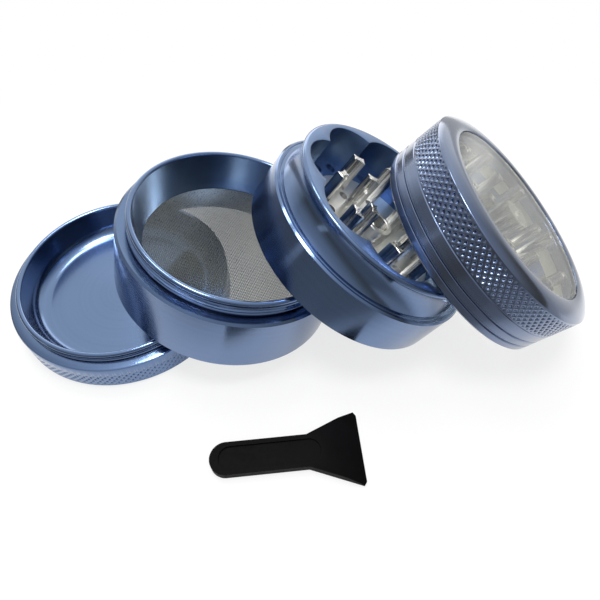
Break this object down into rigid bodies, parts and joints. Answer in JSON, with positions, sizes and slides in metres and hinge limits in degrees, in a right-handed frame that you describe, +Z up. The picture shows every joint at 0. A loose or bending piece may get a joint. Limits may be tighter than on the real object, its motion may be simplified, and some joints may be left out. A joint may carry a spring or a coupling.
{
  "type": "four-section hand grinder",
  "caption": "Turned aluminium hand grinder in four sections with a screen, diamond teeth and a clear lid, taken apart and fanned out beside its scraper.",
  "frame": {"origin": "centre of the catcher's flat underside, on the table", "axes": "+Z up; +X along the fan, from the catcher to the lid; +Y to the back, away from the scraper"},
  "size_m": [0.1648, 0.0922, 0.0528],
  "materials": {
    "anodised": "satin blue anodised",
    "bare": "bright machined",
    "screen": "woven stainless wire",
    "magnet": "nickel plated",
    "nylon": "natural nylon",
    "clear": "clear acrylic",
    "black_plastic": "satin moulded"
  },
  "bodies": {
    "catcher": {"catcher_bowl": "anodised"},
    "sieve_section": {"sieve_chamber": "anodised", "sieve_screen": "screen", "screen_snap_ring": "screen"},
    "tooth_section": {"tooth_chamber": "anodised", "tooth_plate": "bare", "chamber_magnet": "magnet"},
    "friction_sleeve": {"friction_ring": "nylon"},
    "lid": {"lid_ring": "anodised", "lid_window": "clear", "lid_outer_teeth": "bare", "lid_inner_teeth": "bare", "lid_post": "bare", "lid_magnet": "magnet"},
    "scraper_body": {"scraper": "black_plastic"}
  },
  "joints": [
    {"name": "sieve_lift", "type": "slide", "parent": "catcher", "child": "sieve_section", "axis": [0.2733, 0.0671, 0.9596], "range_m": [0, 0.06]},
    {"name": "tooth_lift", "type": "slide", "parent": "sieve_section", "child": "tooth_section", "axis": [0.5439, 0.0668, 0.8365], "range_m": [0, 0.06]},
    {"name": "lid_lift", "type": "slide", "parent": "tooth_section", "child": "friction_sleeve", "axis": [0.6537, 0.0137, 0.7566], "range_m": [0, 0.06]},
    {"name": "lid_turn", "type": "hinge", "parent": "friction_sleeve", "child": "lid", "pos_m": [0.0994, 0.0008, 0.0206], "axis": [0.6537, 0.0137, 0.7566], "continuous": true},
    {"name": "scraper_lift", "type": "slide", "parent": "catcher", "child": "scraper_body", "axis": [0, 0, 1], "range_m": [0, 0.06]}
  ]
}
